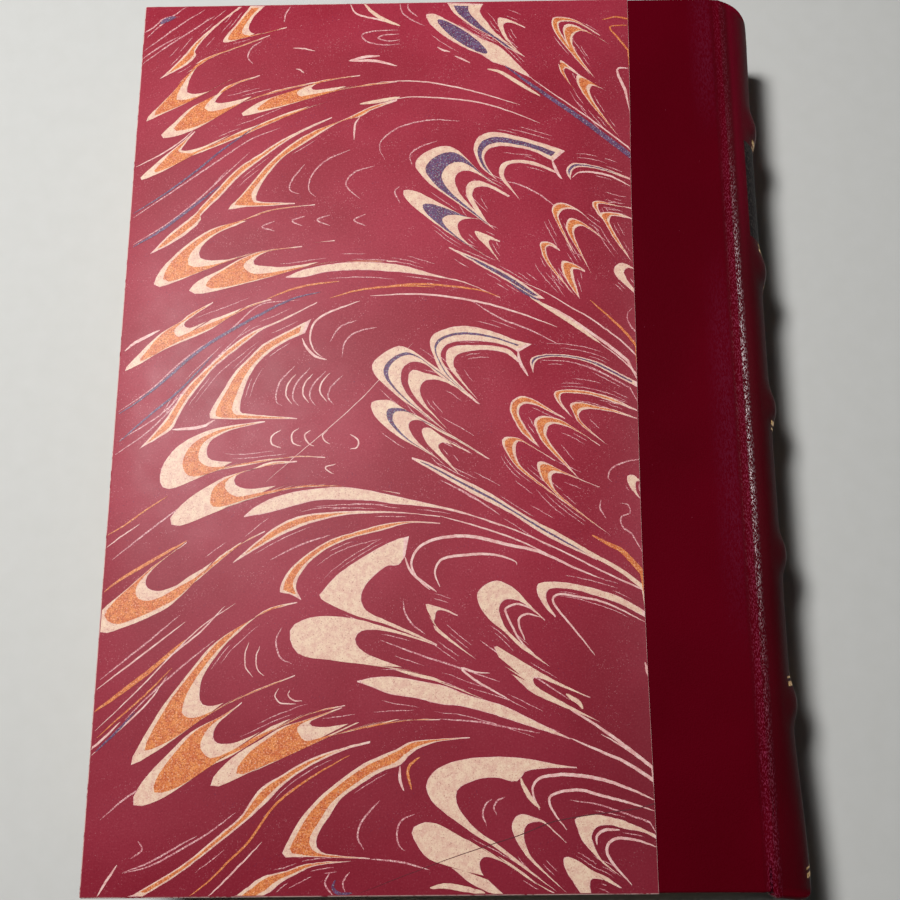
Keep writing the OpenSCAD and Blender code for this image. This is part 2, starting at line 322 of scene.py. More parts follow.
def marbled_finish():
    """Crimson paper with grit and dots, darker towards the tail, and rubbed pale at its folded edges."""
    f = Finish("marbled_paper", roughness=0.42, specular=0.22)
    flow = f.stretched(3.4, 1.0, 1.0, 28.0)
    haze = f.cloud(30.0, 3.0)
    ground = f.blend(shade(150, 34, 52), shade(166, 46, 66), haze.between(0.3, 0.72))
    grit = f.cloud(0.42, 3.0, 0.7)
    ground = f.blend(ground, shade(188, 92, 104), grit.between(0.52, 0.8) * 0.75)
    ground = f.blend(ground, shade(112, 20, 40), (1 - grit).between(0.52, 0.8) * 0.8)
    dots = f.cells(0.6).between(0.24, 0.12) * f.cloud(4.0, 3.0, 0.6, flow).between(0.52, 0.6)
    ground = f.blend(ground, shade(214, 140, 146), dots * 0.6)
    dark = f.cells(0.8).between(0.2, 0.1) * f.cloud(5.0, 3.0, 0.6, flow).between(0.54, 0.62)
    ground = f.blend(ground, shade(90, 40, 80), dark * 0.6)
    shaded = (1 - f.along(1).between(-112.0, 0.0)) * (f.along(0).between(-60.0, 60.0) * 0.2 + 0.8)
    ground = f.blend(ground, shade(112, 26, 40), shaded * 0.56)
    height = abs(f.along(2) - BOOK_HALF)
    rubbed = height.over(*RUBBED_EDGE) * f.cloud(3.0, 4.0, 0.7).between(0.36, 0.5)
    f.colour(f.blend(ground, shade(232, 196, 188), rubbed * 0.8))
    f.rough(f.cloud(6.0, 3.0) * 0.14 + 0.36)
    f.relief(f.cloud(0.25, 2.0), 0.012)
    return f.material


def ink_finish(name, light, deep, speck, share):
    """A marbling colour, cloudy and broken by specks of what lies round it."""
    f = Finish(name, roughness=0.45, specular=0.3)
    tone = f.blend(light, deep, f.cloud(1.6, 6.0, 0.8).between(0.38, 0.62))
    fine = f.cloud(0.42, 4.0, 0.75)
    tone = f.blend(tone, speck, fine.between(0.66 - share, 0.8 - share) * 0.85)
    tone = f.blend(tone, shade(250, 226, 206), (1 - fine).between(0.54, 0.68) * 0.75)
    specks = f.cells(0.5).between(0.3, 0.16) * f.cloud(1.3, 2.0).between(0.62 - share, 0.75 - share)
    f.colour(f.blend(tone, speck, specks * 0.7))
    f.relief(f.cloud(0.25, 2.0), 0.008)
    return f.material


def plain_finish(name, light, deep, size, roughness=0.75, grain=0.02):
    """Two shades of one colour in soft patches of about size millimetres."""
    f = Finish(name, roughness=roughness, specular=0.25)
    f.colour(f.blend(light, deep, f.cloud(size, 4.0, 0.6).between(0.35, 0.7)))
    f.relief(f.cloud(size * 0.12, 2.0), grain)
    return f.material


def leaf_finish():
    f = Finish("leaf_edges", roughness=0.85, specular=0.2)
    sheets = f.cloud(0.16, 2.0, 0.6, f.stretched(60.0, 60.0, 1.0))
    tone = f.blend(shade(226, 212, 182), shade(176, 152, 116), sheets.between(0.42, 0.66))
    f.colour(f.blend(tone, shade(150, 118, 82), f.cloud(16.0, 4.0).between(0.56, 0.8) * 0.5))
    f.relief(sheets, 0.08)
    return f.material


def gold_finish():
    f = Finish("gilt", roughness=0.34, specular=0.5, Metallic=1.0)
    worn = f.cloud(0.8, 4.0, 0.7).between(0.46, 0.6)
    f.colour(f.blend(shade(214, 168, 92), shade(96, 44, 34), worn * 0.8))
    f.rough(worn * 0.3 + 0.3)
    return f.material


def silk_finish():
    f = Finish("silk", roughness=0.5, specular=0.4, Sheen_Weight=0.3)
    turn = (f.along(2) - BOOK_HALF).angle_to(f.along(0) - (BACK_CENTRE - MIDDLE_X))
    stripe = (turn * 42.0).sine().between(-0.15, 0.15)
    f.colour(f.blend(shade(126, 24, 30), shade(222, 204, 162), stripe))
    f.relief(f.cloud(0.12, 2.0), 0.03)
    return f.material


LEATHER = leather_finish()
MARBLED = marbled_finish()
GROUND = shade(150, 42, 60)
CREAM = ink_finish("cream_ink", shade(240, 208, 180), shade(226, 180, 160), GROUND, 0.1)
ORANGE = ink_finish("orange_ink", shade(234, 142, 74), shade(210, 104, 52), shade(140, 64, 44), 0.16)
BLUE = ink_finish("blue_ink", shade(96, 88, 130), shade(62, 50, 88), shade(128, 44, 74), 0.2)
ROSE = ink_finish("rose_ink", shade(242, 204, 196), shade(222, 160, 156), GROUND, 0.08)
PINK = ink_finish("pink_ink", shade(240, 190, 190), shade(210, 130, 140), GROUND, 0.2)
# a crease in the paper near the tail, drawn as a dark line of painted shade
CREASE_SHADE = plain_finish("crease", shade(104, 40, 48), shade(88, 32, 40), 3.0)
PAPER_CUT = plain_finish("paper_cut", shade(226, 176, 170), shade(190, 120, 122), 2.0)
ENDPAPER = plain_finish("endpaper", shade(232, 220, 196), shade(225, 211, 184), 45.0, 0.8, 0.01)
LEAVES = leaf_finish()
BOARD = plain_finish("board", shade(176, 142, 102), shade(146, 112, 76), 3.0, 0.85, 0.05)
MULL = plain_finish("mull", shade(222, 212, 190), shade(180, 166, 138), 0.8, 0.9, 0.08)
LINING = plain_finish("lining", shade(190, 154, 110), shade(164, 126, 84), 5.0, 0.85, 0.02)
GOLD = gold_finish()
SILK = silk_finish()

NODE_FINISHES = {
    "text_block": LEAVES,
    "spine_mull": MULL,
    "spine_lining": LINING,
    "head_endband": SILK,
    "tail_endband": SILK,
    "back_flyleaf": ENDPAPER,
    "front_flyleaf": ENDPAPER,
    "back_pastedown": ENDPAPER,
    "front_pastedown": ENDPAPER,
    "back_board": BOARD,
    "front_board": BOARD,
}
for name, material in NODE_FINISHES.items():
    nodes[name].data.materials.clear()
    nodes[name].data.materials.append(material)


# ---- hands ----
def only(piece):
    """Makes the piece the one that is selected and worked on."""
    bpy.ops.object.select_all(action="DESELECT")
    piece.select_set(True)
    bpy.context.view_layer.objects.active = piece


def grid_piece(name, across, along, shape):
    """A grid whose points the shape function puts in place, from shares of its two sides."""
    bpy.ops.object.select_all(action="DESELECT")
    bpy.ops.mesh.primitive_grid_add(x_subdivisions=across, y_subdivisions=along, size=1)
    piece = bpy.context.object
    piece.name = name
    for vertex in piece.data.vertices:
        vertex.co = shape(vertex.co.x + 0.5, vertex.co.y + 0.5)
    return piece


def finish_modifier(piece, kind, **settings):
    """Adds a modifier with its settings and applies it."""
    only(piece)
    modifier = piece.modifiers.new(kind.lower(), kind)
    for key, value in settings.items():
        setattr(modifier, key, value)
    bpy.ops.object.modifier_apply(modifier=modifier.name)


def join(pieces, name):
    """One piece made of several."""
    only(pieces[0])
    for piece in pieces:
        piece.select_set(True)
    bpy.ops.object.join()
    pieces[0].name = name
    return pieces[0]


def edit_all(piece):
    """Edit mode with the whole piece selected."""
    only(piece)
    bpy.ops.object.mode_set(mode="EDIT")
    bpy.ops.mesh.select_all(action="SELECT")


def normals_out(piece):
    """Merges points that coincide and turns all faces outwards."""
    edit_all(piece)
    bpy.ops.mesh.remove_doubles(threshold=1e-7)
    bpy.ops.mesh.normals_make_consistent(inside=False)
    bpy.ops.object.mode_set(mode="OBJECT")


def soften(piece, degrees=40):
    """Shades the piece smoothly, but not over edges sharper than this."""
    only(piece)
    bpy.ops.object.shade_smooth_by_angle(angle=math.radians(degrees))


def other_side(piece, name):
    """A copy of a piece of the upper cover, turned over for the lower one."""
    copy = piece.copy()
    copy.data = piece.data.copy()
    copy.name = name
    bpy.context.scene.collection.objects.link(copy)
    for vertex in copy.data.vertices:
        vertex.co.z = 2 * BOOK_HALF * MM - vertex.co.z
    copy.data.flip_normals()
    return copy


# ---- leather ----
# Places from the fore edge where the leather starts to dip, is lowest and lies on the round of the back
STRIP_END = 160.0
DIP_START = 160.3
JOINT_DIP = 161.9
ARC_START = 163.4
JOINT_DEPTH = 0.26
LEATHER_SKIN = 0.38
# Steps over the board, over the joint and round to the middle of the back
SECTION_STRIP = 34
SECTION_JOINT = 22
SECTION_BACK = 52


def back_height(x):
    """Height of the even round of the back."""
    return math.sqrt(max(BACK_RADIUS**2 - (x - BACK_CENTRE) ** 2, 0.0))


def joint_height(x):
    """Height of the leather over the joint: down from the edge of the board, then up on the shoulder."""
    if x < JOINT_DIP:
        return BOARD_OUT - JOINT_DEPTH * smooth((x - DIP_START) / (JOINT_DIP - DIP_START))
    settle = back_height(JOINT_DIP) - (BOARD_OUT - JOINT_DEPTH)
    return back_height(x) - settle * (1 - smooth((x - JOINT_DIP) / (ARC_START - JOINT_DIP)))


def section(u):
    """Place and outward turn of the leather, at a share of its way from the paper to mid-back."""
    step = u * (SECTION_STRIP + SECTION_JOINT + SECTION_BACK)
    if step <= SECTION_STRIP:
        return mix(LEATHER_EDGE, STRIP_END, step / SECTION_STRIP), BOARD_OUT, 0.0
    if step <= SECTION_STRIP + SECTION_JOINT:
        x = mix(STRIP_END, ARC_START, (step - SECTION_STRIP) / SECTION_JOINT)
        slope = (joint_height(x + 0.05) - joint_height(x - 0.05)) / 0.1
        return x, joint_height(x), math.atan(-slope)
    start = math.asin((ARC_START - BACK_CENTRE) / BACK_RADIUS)
    turn = mix(start, math.pi / 2, (step - SECTION_STRIP - SECTION_JOINT) / SECTION_BACK)
    return BACK_CENTRE + BACK_RADIUS * math.sin(turn), BACK_RADIUS * math.cos(turn), turn


# Steps of the leather over the tail edge of a board and over the tail cap, as depth and height
FOLD_ON_BOARD = ((2.55, 14.8), (2.6, 8.0), (2.6, 1.2), (2.45, 0.45), (2.1, 0.2), (1.3, 0.2), (0.6, 0.2))
FOLD_ON_BOARD += ((0.26, 0.3), (0.08, 0.5), (0.0, 0.9), (0.0, 2.0))
FOLD_ON_CAP = ((4.4, -0.5), (4.5, -0.9), (4.35, -1.3), (3.9, -1.48), (3.0, -1.5), (2.1, -1.5), (1.4, -1.48))
FOLD_ON_CAP += ((0.75, -1.28), (0.3, -0.85), (0.07, -0.3), (0.0, 0.6))
# How far the head cap is rounder and the tail cap hangs lower
HEAD_ROUND = 1.3
TAIL_DROOP = 1.7
DROOP_REACH = 9.0
CAP_START = 162.2
CAP_FULL = 164.8
# The dimple in the joint's tail corner
DIMPLE = 0.15
DIMPLE_REACH = 3.4
LENGTH_STEPS = 270
BAND_SHARPNESS = 2.4
# How far the back stands out at its tail, lies in along its length and comes out at its head
TAIL_RISE = 0.9
BACK_SAG = -0.65
HEAD_RISE = 0.45


def band_swell(y):
    """How far the leather stands proud of the back over a raised band."""
    away = [abs(y - middle) / BAND_ROUND for middle in BAND_MIDDLES]
    return sum(BAND_PROUD * math.exp(-(share**BAND_SHARPNESS)) for share in away)


def hollow(y):
    """How far the worn back stands out at its ends and in along the rest of it."""
    return mix(TAIL_RISE, BACK_SAG, smooth(y / 45.0)) + HEAD_RISE * smooth((y - 200.0) / 35.0)


def back_rise(y, turn):
    """How far the leather stands out from the even round of the back."""
    degrees = math.degrees(turn)
    swell = band_swell(y) * smooth((degrees - 40.0) / 32.0)
    return swell + hollow(y) * smooth((degrees - 30.0) / 35.0)


def from_middle(turn):
    """The turn of the back's upper half for a turn anywhere on it."""
    return math.pi / 2 - abs(math.pi / 2 - turn)


def leather_point(u, v):
    """A point of the leather, at shares of its way over the back and along the book."""
    x, z, turn = section(u)
    on_back = smooth((x - CAP_START) / (CAP_FULL - CAP_START))
    folds = len(FOLD_ON_BOARD)
    row = v * (LENGTH_STEPS + 2 * folds)
    from_head = LENGTH_STEPS + 2 * folds - row
    end = min(row, from_head)
    if end < folds:
        step = min(int(end + 1e-6), folds - 1)
        board = FOLD_ON_BOARD[step]
        cap = FOLD_ON_CAP[step]
        if row > from_head:
            cap = (cap[0], cap[1] + HEAD_ROUND)
        depth = mix(board[0], cap[0], on_back)
        y = mix(board[1], cap[1], on_back)
        y = y if row < from_head else BOARD_HEIGHT - y
    else:
        low = mix(FOLD_ON_BOARD[-1][1], FOLD_ON_CAP[-1][1], on_back)
        high = BOARD_HEIGHT - mix(FOLD_ON_BOARD[-1][1], FOLD_ON_CAP[-1][1] + HEAD_ROUND, on_back)
        y = mix(low, high, (row - folds + 1) / (LENGTH_STEPS + 2))
        depth = 0.0
    lean = smooth((math.degrees(turn) - 20.0) / 40.0)
    y -= TAIL_DROOP * lean * smooth((DROOP_REACH - y) / DROOP_REACH)
    in_joint = smooth((x - 160.6) / 1.2) * (1 - smooth((x - 163.0) / 1.4))
    rise = back_rise(y, turn) - depth
    rise -= DIMPLE * smooth((DIMPLE_REACH - y) / DIMPLE_REACH) * in_joint
    return place(x + rise * math.sin(turn), y, z + rise * math.cos(turn))


def leather_half(side):
    """One cover's leather as far as the middle of the back, a skin that bends over the joint."""
    across = SECTION_STRIP + SECTION_JOINT + SECTION_BACK
    along = LENGTH_STEPS + 2 * len(FOLD_ON_BOARD)
    piece = grid_piece("leather_back_half", across, along, leather_point)
    finish_modifier(piece, "SOLIDIFY", thickness=LEATHER_SKIN * MM, offset=-1.0)
    soften(piece, 60)
    slant(piece)
    if side == "front":
        turned = other_side(piece, "leather_front_half")
        bpy.data.objects.remove(piece)
        piece = turned
    piece.data.materials.append(LEATHER)
    height = BOOK_HALF if side == "back" else -BOOK_HALF
    place(160.4, 0, height)
    place(163.2, 0, height)
    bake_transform(piece)
    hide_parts("spine_leather", f"{side}_leather")


for side in ("back", "front"):
    leather_half(side)


# Half the turn round the back and half the width of the strip under a raised band
BAND_REACH = 64.0
BAND_HALF = 5.6
# How far its face lies under the leather's, and its seat from the round of the back
BAND_UNDER = 0.45
BAND_SEAT = -0.8


def under_band(n):
    """The strip under a raised band, from the lining to just under the leather."""
    middle = BAND_MIDDLES[n - 1]

    def shape(across, along):
        turn = math.radians(mix(90 - BAND_REACH, 90 + BAND_REACH, across))
        round_section = 2 * along
        if round_section <= 1:
            y = mix(BAND_HALF, -BAND_HALF, round_section)
        else:
            y = mix(-BAND_HALF, BAND_HALF, round_section - 1)
        reach = BAND_SEAT
        if round_section > 1:
            top = back_rise(middle + y, from_middle(turn)) - BAND_UNDER
            reach = mix(reach, top, smooth((BAND_HALF - abs(y)) / 1.2))
        reach += BACK_RADIUS
        return place(BACK_CENTRE + reach * math.sin(turn), middle + y, reach * math.cos(turn))

    piece = grid_piece(f"under_band_{n}", 40, 24, shape)
    normals_out(piece)
    edit_all(piece)
    bpy.ops.mesh.fill_holes(sides=0)
    bpy.ops.mesh.normals_make_consistent(inside=False)
    bpy.ops.object.mode_set(mode="OBJECT")
    soften(piece)
    piece.data.materials.append(BOARD)
    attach(piece, "book_block")
    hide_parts(f"raised_band_{n}")


for n in range(1, len(BAND_MIDDLES) + 1):
    under_band(n)


# ---- gold ----
# Each pair's place, the way from its broad to its fine line, and how far round the back the gold is left
FROM_BAND = 4.2
GOLD_PAIRS = [(middle + way * FROM_BAND, way, 19.0) for middle in BAND_MIDDLES for way in (1, -1)]
GOLD_PAIRS += [(1.8, 1, 34.0), (BOARD_HEIGHT - 4.0, -1, 24.0)]
# Pairs, by their number, whose gold is left further round
BEST_KEPT = {0: 36.0, 5: 32.0, 6: 32.0, 9: 30.0}
# Start and width of a pair's broad and its fine line
GOLD_WIDTHS = ((0.0, 1.1), (1.9, 0.5))
GOLD_PROUD = 0.03
GOLD_THICK = 0.02


def gold_line(low, high, kept):
    """One worn line of gold over the leather, from its lower to its upper edge."""

    def shape(across, along):
        turn = math.radians(mix(90 - kept, 90 + kept, across))
        y = mix(low, high, along)
        reach = BACK_RADIUS + back_rise(y, from_middle(turn)) + GOLD_PROUD
        return place(BACK_CENTRE + reach * math.sin(turn), y, reach * math.cos(turn))

    line = grid_piece("gold_line", 28, 2, shape)
    finish_modifier(line, "SOLIDIFY", thickness=GOLD_THICK * MM, offset=-1.0)
    return line


gold_lines = []
for number, (start, way, kept) in enumerate(GOLD_PAIRS):
    for near, width in GOLD_WIDTHS:
        edges = sorted((start + way * near, start + way * (near + width)))
        gold_lines.append(gold_line(*edges, BEST_KEPT.get(number, kept)))
gold = join(gold_lines, "gold_rules")
gold.data.materials.append(GOLD)
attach(gold, "book_block")
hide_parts("gilt_rules")


# ---- marbled paper ----
# Rounding of the paper's folds and of its cut edge
FOLD_ROUND = 0.55
CUT_ROUND = 0.1


def choose(piece, kind, wanted):
    """Selects the edges or faces of the piece whose middle is wanted, in edit mode."""
    only(piece)
    bpy.ops.object.mode_set(mode="EDIT")
    bpy.ops.mesh.select_mode(type=kind)
    bpy.ops.mesh.select_all(action="DESELECT")
    bpy.ops.object.mode_set(mode="OBJECT")
    mesh = piece.data
    for part in mesh.edges if kind == "EDGE" else mesh.polygons:
        if kind == "EDGE":
            ends = [mesh.vertices[i].co for i in part.vertices]
            middle = (ends[0] + ends[1]) / 2
        else:
            middle = part.center
        x, y, z = middle.x / MM + MIDDLE_X, middle.y / MM + MIDDLE_Y, middle.z / MM - BOOK_HALF
        part.select = bool(wanted(x, y, z))
    bpy.ops.object.mode_set(mode="EDIT")


def cut(piece, point, direction):
    """Cuts the whole piece along a plane."""
    edit_all(piece)
    bpy.ops.mesh.bisect(plane_co=point, plane_no=direction)
    bpy.ops.object.mode_set(mode="OBJECT")


def paper_side():
    """Paper over the outside of a board, softly folded round three edges and turned in."""
    low, high = place(0, 0, BOARD_IN), place(PAPER_EDGE, BOARD_HEIGHT, BOOK_HALF)
    bpy.ops.object.select_all(action="DESELECT")
    bpy.ops.mesh.primitive_cube_add(size=1, location=(low + high) / 2, scale=high - low)
    bpy.ops.object.transform_apply(location=True, rotation=True, scale=True)
    piece = bpy.context.object
    piece.name = "marbled_side_back"
    choose(piece, "FACE", lambda x, y, z: x > PAPER_EDGE - 0.1)
    bpy.ops.mesh.delete(type="FACE")
    bpy.ops.object.mode_set(mode="OBJECT")
    cut(piece, place(TURN_IN, 0, 0), (1, 0, 0))
    for y in (TURN_IN, BOARD_HEIGHT - TURN_IN, *range(30, 230, 12)):
        cut(piece, place(0, y, 0), (0, 1, 0))
    for x in range(40, 130, 30):
        cut(piece, place(x, 0, 0), (1, 0, 0))

    def inside(x, y, z):
        return z < BOARD_IN + 0.1 and x > TURN_IN and TURN_IN < y < BOARD_HEIGHT - TURN_IN

    choose(piece, "FACE", inside)
    bpy.ops.mesh.delete(type="FACE")
    bpy.ops.object.mode_set(mode="OBJECT")

    def folded(x, y, z):
        on_tail_or_head = y < 0.1 or y > BOARD_HEIGHT - 0.1
        on_face = z > BOOK_HALF - 0.1 or z < BOARD_IN + 0.1
        return (x < 0.1 and (on_face or on_tail_or_head)) or (on_tail_or_head and on_face)

    choose(piece, "EDGE", folded)
    bpy.ops.mesh.bevel(offset=FOLD_ROUND * MM, segments=4, affect="EDGES")
    bpy.ops.object.mode_set(mode="OBJECT")
    normals_out(piece)
    finish_modifier(piece, "SOLIDIFY", thickness=PAPER * MM, offset=-1.0)
    choose(piece, "EDGE", lambda x, y, z: x > PAPER_EDGE - 0.01 and z > BOOK_HALF - 0.01)
    bpy.ops.mesh.bevel(offset=CUT_ROUND * MM, segments=2, affect="EDGES")
    bpy.ops.object.mode_set(mode="OBJECT")
    piece.data.materials.append(MARBLED)
    piece.data.materials.append(PAPER_CUT)
    for face in piece.data.polygons:
        if face.center.x > place(PAPER_EDGE - 0.12, 0, 0).x:
            face.material_index = 1
    for vertex in piece.data.vertices:
        if vertex.co.x > place(PAPER_EDGE - 0.3, 0, 0).x:
            vertex.co.x += edge_drift(vertex.co.y / MM + MIDDLE_Y) * MM
    slant(piece)
    soften(piece, 40)
    return piece


sides = {"back": paper_side()}
sides["front"] = other_side(sides["back"], "marbled_side_front")
for side, piece in sides.items():
    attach(piece, f"{side}_cover")
    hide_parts(f"{side}_marbled_paper")


# ---- marbling ----
# The comb's loops are drawn on the photograph, in its own pixels: first the outer edge of a loop, from one
# fine end over the tip to the other, and then its inner edge. A stroke is drawn along its middle.
LOOP_STEPS = 46
CURVE_STEPS = 12
PIXELS_PER_MM = 3.75
# Rims in millimetres: the thin rose one round a loop, and the one round the colour in its heart
ROSE_RIM = 0.16
COLOUR_RIM = 0.44
RAGGED = 0.16
# A stroke that ends this near to the leather runs on under it
NEAR_LEATHER = 6.0
RUN_ON = 7.0
# Echoes of a loop: on its outside (1) or within (-1), and how far off
ECHOES = ((1, 0.8), (1, 1.7), (1, 2.9), (-1, 0.9), (-1, 2.0))
ECHO_TURN = 0.2
ECHO_JUMP = 1.5
ECHO_WIDTH = 0.2
# Heights of the colours' layers on the paper, and of each field over the one before it
LAYERS = {"pink": 0.006, "rose": 0.022, "cream": 0.038, "orange": 0.054, "blue": 0.054, "crease": 0.07}
HAIR = 0.00005
# Without a seed of its own the noise takes one from the clock
NOISE_SEED = 7
noise.seed_set(NOISE_SEED)
fields = {colour: [] for colour in LAYERS}


def drawn(text):
    """Pixel places written as "x,y x,y", as places on the cover in millimetres."""
    return [Vector(on_cover(*map(float, pair.split(",")))) for pair in text.split()]


def follow(points, steps):
    """Even steps along a smooth curve through the points."""
    ends = [2 * points[0] - points[1], *points, 2 * points[-1] - points[-2]]
    fine = []
    for i in range(1, len(ends) - 2):
        a, b, c, d = ends[i - 1:i + 3]
        for k in range(CURVE_STEPS):
            t = k / CURVE_STEPS
            pull = (c - a) * t + (2 * a - 5 * b + 4 * c - d) * t * t + (3 * b - a - 3 * c + d) * t**3
            fine.append(b + pull / 2)
    fine.append(points[-1])
    runs = [0.0]
    for a, b in zip(fine, fine[1:]):
        runs.append(runs[-1] + (b - a).length)
    made = []
    at = 0
    for k in range(steps + 1):
        goal = runs[-1] * k / steps
        while at < len(runs) - 2 and runs[at + 1] < goal:
            at += 1
        span = max(runs[at + 1] - runs[at], 1e-9)
        made.append(fine[at].lerp(fine[at + 1], (goal - runs[at]) / span))
    return made


def ragged(point):
    """The point moved a little, as wet colour creeps on the size."""
    seed = Vector((point.x * 0.9, point.y * 0.9, 3.0))
    shift = noise.noise_vector(seed) * 0.6 + noise.noise_vector(seed * 2.7) * 0.4
    return point + Vector((shift.x, shift.y)) * RAGGED


def strokes(colour, lines):
    """Thin lines of one colour, each as its width in pixels and its places, with a slash between them."""
    for text in lines.split("/"):
        width, places = text.split(maxsplit=1)
        line = follow(drawn(places), 6 * len(places.split()))
        if line[-1].x > PAPER_EDGE - NEAR_LEATHER:
            line.append(line[-1] + (line[-1] - line[-2]).normalized() * RUN_ON)
        draw_line(colour, line, float(width) / PIXELS_PER_MM)


def draw_line(colour, line, width):
    """A thin line of one colour, fine at both ends, or at its start where it runs under the leather."""
    sides = []
    runs_under = line[-1].x > PAPER_EDGE
    for k, point in enumerate(line):
        ahead = line[min(k + 1, len(line) - 1)] - line[max(k - 1, 0)]
        across = Vector((-ahead.y, ahead.x)).normalized()
        share = k / (len(line) - 1) * (0.5 if runs_under else 1.0)
        half = width / 2 * (0.15 + 0.85 * math.sin(math.pi * share) ** 0.6)
        sides.append((ragged(point) + across * half, ragged(point) - across * half))
    fields[colour].append(upward(sides))


def turned(a, b, c):
    """Twice the area of a triangle, above 0 where its corners run anticlockwise."""
    return (b.x - a.x) * (c.y - a.y) - (b.y - a.y) * (c.x - a.x)


def upward(rows):
    """Rows of a strip without crossed places, in the order that turns its faces up."""
    signs = [turned(a, c, b) for (a, b), (c, d) in zip(rows, rows[1:])]
    main = 1 if sum(signs) > 0 else -1
    mended = [rows[0]]
    for a, b in rows[1:]:
        before = mended[-1]
        crossed = turned(before[0], a, b) * main < 0 or turned(before[0], b, before[1]) * main < 0
        middle = (a + b) / 2
        mended.append((middle, middle) if crossed else (a, b))
    return mended if main > 0 else [(b, a) for a, b in mended]


def within(rows, rim, share=(0.0, 1.0)):
    """The part of a strip that leaves a rim along both edges."""
    inner = []
    for a, b in rows:
        edge = min(rim / max((b - a).length, 1e-6), 0.49)
        low, high = max(share[0], edge), min(share[1], 1 - edge)
        if high < low:
            low = high = (low + high) / 2
        inner.append((a.lerp(b, low), a.lerp(b, high)))
    return inner


def loop(outer, inner, heart=None, share=None):
    """A pale loop in a rose rim, with another colour over a share of the way from edge to edge."""
    outside = [ragged(p) for p in follow(drawn(outer), LOOP_STEPS)]
    inside = [ragged(p) for p in follow(drawn(inner), LOOP_STEPS)]
    rows = list(zip(outside, inside))
    fields["rose"].append(upward(rows))
    fields["cream"].append(upward(within(rows[1:-1], ROSE_RIM)))
    if heart:
        fields[heart].append(upward(within(rows[2:-2], COLOUR_RIM, share)))
    echoes(outside, inside)


def echoes(outside, inside):
    """Hairlines that follow the quiet sides of a loop, outside it and within, broken here and there."""
    for way, gap in ECHOES:
        line = outside if way > 0 else inside
        run = []
        for k in range(5, LOOP_STEPS - 6):
            before, ahead = line[k] - line[k - 3], line[k + 3] - line[k]
            across = Vector((-ahead.y, ahead.x)).normalized()
            if across.dot(outside[k] - inside[k]) < 0:
                across = -across
            gone = noise.noise(Vector((line[k].x * 0.35, line[k].y * 0.35, gap * 9))) > 0.2
            turns = before.angle(ahead, 0.0)
            spot = line[k] + across * way * gap
            if run and (gone or turns > ECHO_TURN or (spot - run[-1]).length > ECHO_JUMP):
                draw_hairline(run)
                run = []
            if not gone and turns < ECHO_TURN:
                run.append(spot)
        draw_hairline(run)


def draw_hairline(run):
    """Draws an echo, unless it is too short to show."""
    if len(run) > 6:
        draw_line("pink", run, ECHO_WIDTH)


def cream(outer, inner):
    loop(outer, inner)


def orange(outer, inner, low=0.2, high=0.74):
    loop(outer, inner, "orange", (low, high))


def blue(outer, inner, low, high):
    loop(outer, inner, "blue", (low, high))


# Loops at the fore edge, from head to tail
orange("252,4 238,22 223,42 245,38 287,28", "265,6 254,17 249,29 258,34 287,27")
orange("239,7 217,24 197,41 180,60 160,79", "242,7 222,22 206,37 195,51 196,56 185,66 160,79")
orange("270,35 240,46 202,60 185,75 170,95 145,121 167,112 195,99 225,82 255,70 282,64",
       "270,36 240,47 215,56 200,64 191,77 187,90 192,94 210,91 232,79 282,65")
orange("260,75 227,86 212,99 192,107 175,122 160,137 177,136 202,126 225,110 250,100 282,91 315,83",
       "260,76 230,87 216,100 217,103 230,102 250,97 282,89 315,82")
orange("360,75 320,81 290,92 260,102 240,116 270,110 305,100 340,90 397,82",
       "360,76 325,81 312,87 316,90 340,87 397,81")
orange("195,131 180,144 160,160 139,180 162,172 182,160 205,151 235,139 267,125 305,109",
       "195,132 186,143 182,151 202,147 225,137 260,124 290,112 332,100")
orange("397,99 370,107 345,119 312,132 290,145 270,162 255,179 240,197 228,209 245,207 265,206 295,204",
       "397,101 372,110 360,117 340,122 307,142 285,156 270,172 260,187 256,199 262,202 295,203")
orange("332,117 310,126 280,141 260,154 237,169 215,192 192,216 170,234 150,254",
       "332,118 295,136 267,155 240,176 220,197 201,215 201,221 185,235 167,246 150,254")
orange("315,204 270,210 240,221 212,229 192,241 175,255 160,271 154,287 170,284 200,272 232,260 260,252"
       " 300,244 335,241",
       "315,205 270,211 240,224 220,232 204,244 199,255 206,260 230,259 260,251 335,240")
orange("302,246 270,250 245,257 220,270 200,280 189,290 200,294 232,287 270,277 295,269 332,262 397,262",
       "302,247 270,251 255,259 256,265 280,267 300,265 332,261 397,261")
cream("286,277 300,271 325,265 360,262 400,265 440,276 465,282 500,297",
      "286,278 305,277 327,272 360,270 397,272 430,276 465,283 500,298")
orange("213,302 190,314 180,322 160,334 137,356 124,371 140,364 162,351 187,340 210,330 230,317 255,305"
       " 272,300",
       "213,303 195,315 184,324 190,328 205,322 230,313 250,305 270,299")
orange("317,302 280,320 252,332 230,347 210,365 192,382 180,397 167,417 155,432 139,449",
       "317,303 280,322 262,330 240,347 215,367 200,385 187,402 176,422 172,429 160,437 139,449")
orange("311,319 280,335 262,345 250,357 235,372 222,392 209,416 222,419 255,419 297,419",
       "305,333 287,341 270,352 255,367 245,387 240,410 250,414 297,418")
orange("265,421 235,425 210,430 187,440 172,452 162,467 160,482 166,489 180,486 200,476 220,470 250,465"
       " 272,460 300,457 325,458",
       "265,422 235,429 220,435 210,442 207,452 212,460 240,462 270,459 300,456 325,457", 0.45, 0.8)
orange("297,461 270,462 250,470 230,475 210,485 187,500 169,520 177,526 192,522 215,512 235,504 255,497"
       " 277,491 305,487 355,486 400,494",
       "297,462 265,466 247,471 235,477 236,485 250,489 275,486 305,484 330,484 400,493", 0.5, 0.78)
cream("244,516 255,507 275,497 305,490 340,487 367,490 400,497 435,505 460,511 500,525",
      "244,517 272,512 300,504 320,500 350,500 375,501 395,504 420,506 460,512 500,526")
